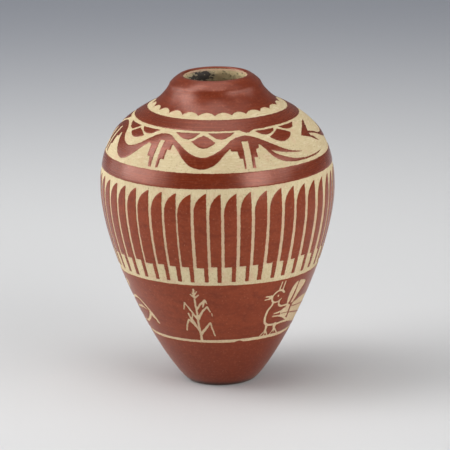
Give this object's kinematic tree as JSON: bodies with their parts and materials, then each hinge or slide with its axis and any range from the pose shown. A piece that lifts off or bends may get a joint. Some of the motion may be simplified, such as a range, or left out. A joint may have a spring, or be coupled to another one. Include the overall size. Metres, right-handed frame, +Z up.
{
  "type": "pottery jar",
  "caption": "Small coiled pottery jar with a narrow foot, high shoulder and small mouth, in burnished red slip scratched through to buff clay in bands of feathers, serpent and clouds.",
  "frame": {"origin": "centre of the flat foot, on the surface that the jar stands on", "axes": "+Z up the jar's axis to the mouth, -Y towards the front of the pattern, +X to the viewer's right"},
  "size_m": [0.075, 0.075, 0.1],
  "materials": {
    "red_slip": "burnished red slip, satin",
    "buff_clay": "matte scratched buff clay"
  },
  "bodies": {
    "root": {"clay_wall": "buff_clay", "foot_slip": "red_slip", "field_slip": "red_slip", "feather_slip_01": "red_slip", "feather_slip_02": "red_slip", "feather_slip_03": "red_slip", "feather_slip_04": "red_slip", "feather_slip_05": "red_slip", "feather_slip_06": "red_slip", "feather_slip_07": "red_slip", "feather_slip_08": "red_slip", "feather_slip_09": "red_slip", "feather_slip_10": "red_slip", "feather_slip_11": "red_slip", "feather_slip_12": "red_slip", "feather_slip_13": "red_slip", "feather_slip_14": "red_slip", "feather_slip_15": "red_slip", "feather_slip_16": "red_slip", "feather_slip_17": "red_slip", "feather_slip_18": "red_slip", "feather_slip_19": "red_slip", "feather_slip_20": "red_slip", "feather_slip_21": "red_slip", "feather_slip_22": "red_slip", "feather_slip_23": "red_slip", "feather_slip_24": "red_slip", "feather_slip_25": "red_slip", "feather_slip_26": "red_slip", "feather_slip_27": "red_slip", "feather_slip_28": "red_slip", "feather_slip_29": "red_slip", "feather_slip_30": "red_slip", "feather_slip_31": "red_slip", "feather_slip_32": "red_slip", "feather_slip_33": "red_slip", "feather_slip_34": "red_slip", "feather_slip_35": "red_slip", "feather_slip_36": "red_slip", "feather_slip_37": "red_slip", "feather_slip_38": "red_slip", "feather_slip_39": "red_slip", "feather_slip_40": "red_slip", "feather_slip_41": "red_slip", "feather_slip_42": "red_slip", "feather_slip_43": "red_slip", "feather_slip_44": "red_slip", "feather_slip_45": "red_slip", "feather_slip_46": "red_slip", "feather_slip_47": "red_slip", "feather_slip_48": "red_slip", "belt_slip": "red_slip", "serpent_slip": "red_slip", "shoulder_slip": "red_slip", "neck_slip": "red_slip"}
  },
  "joints": []
}
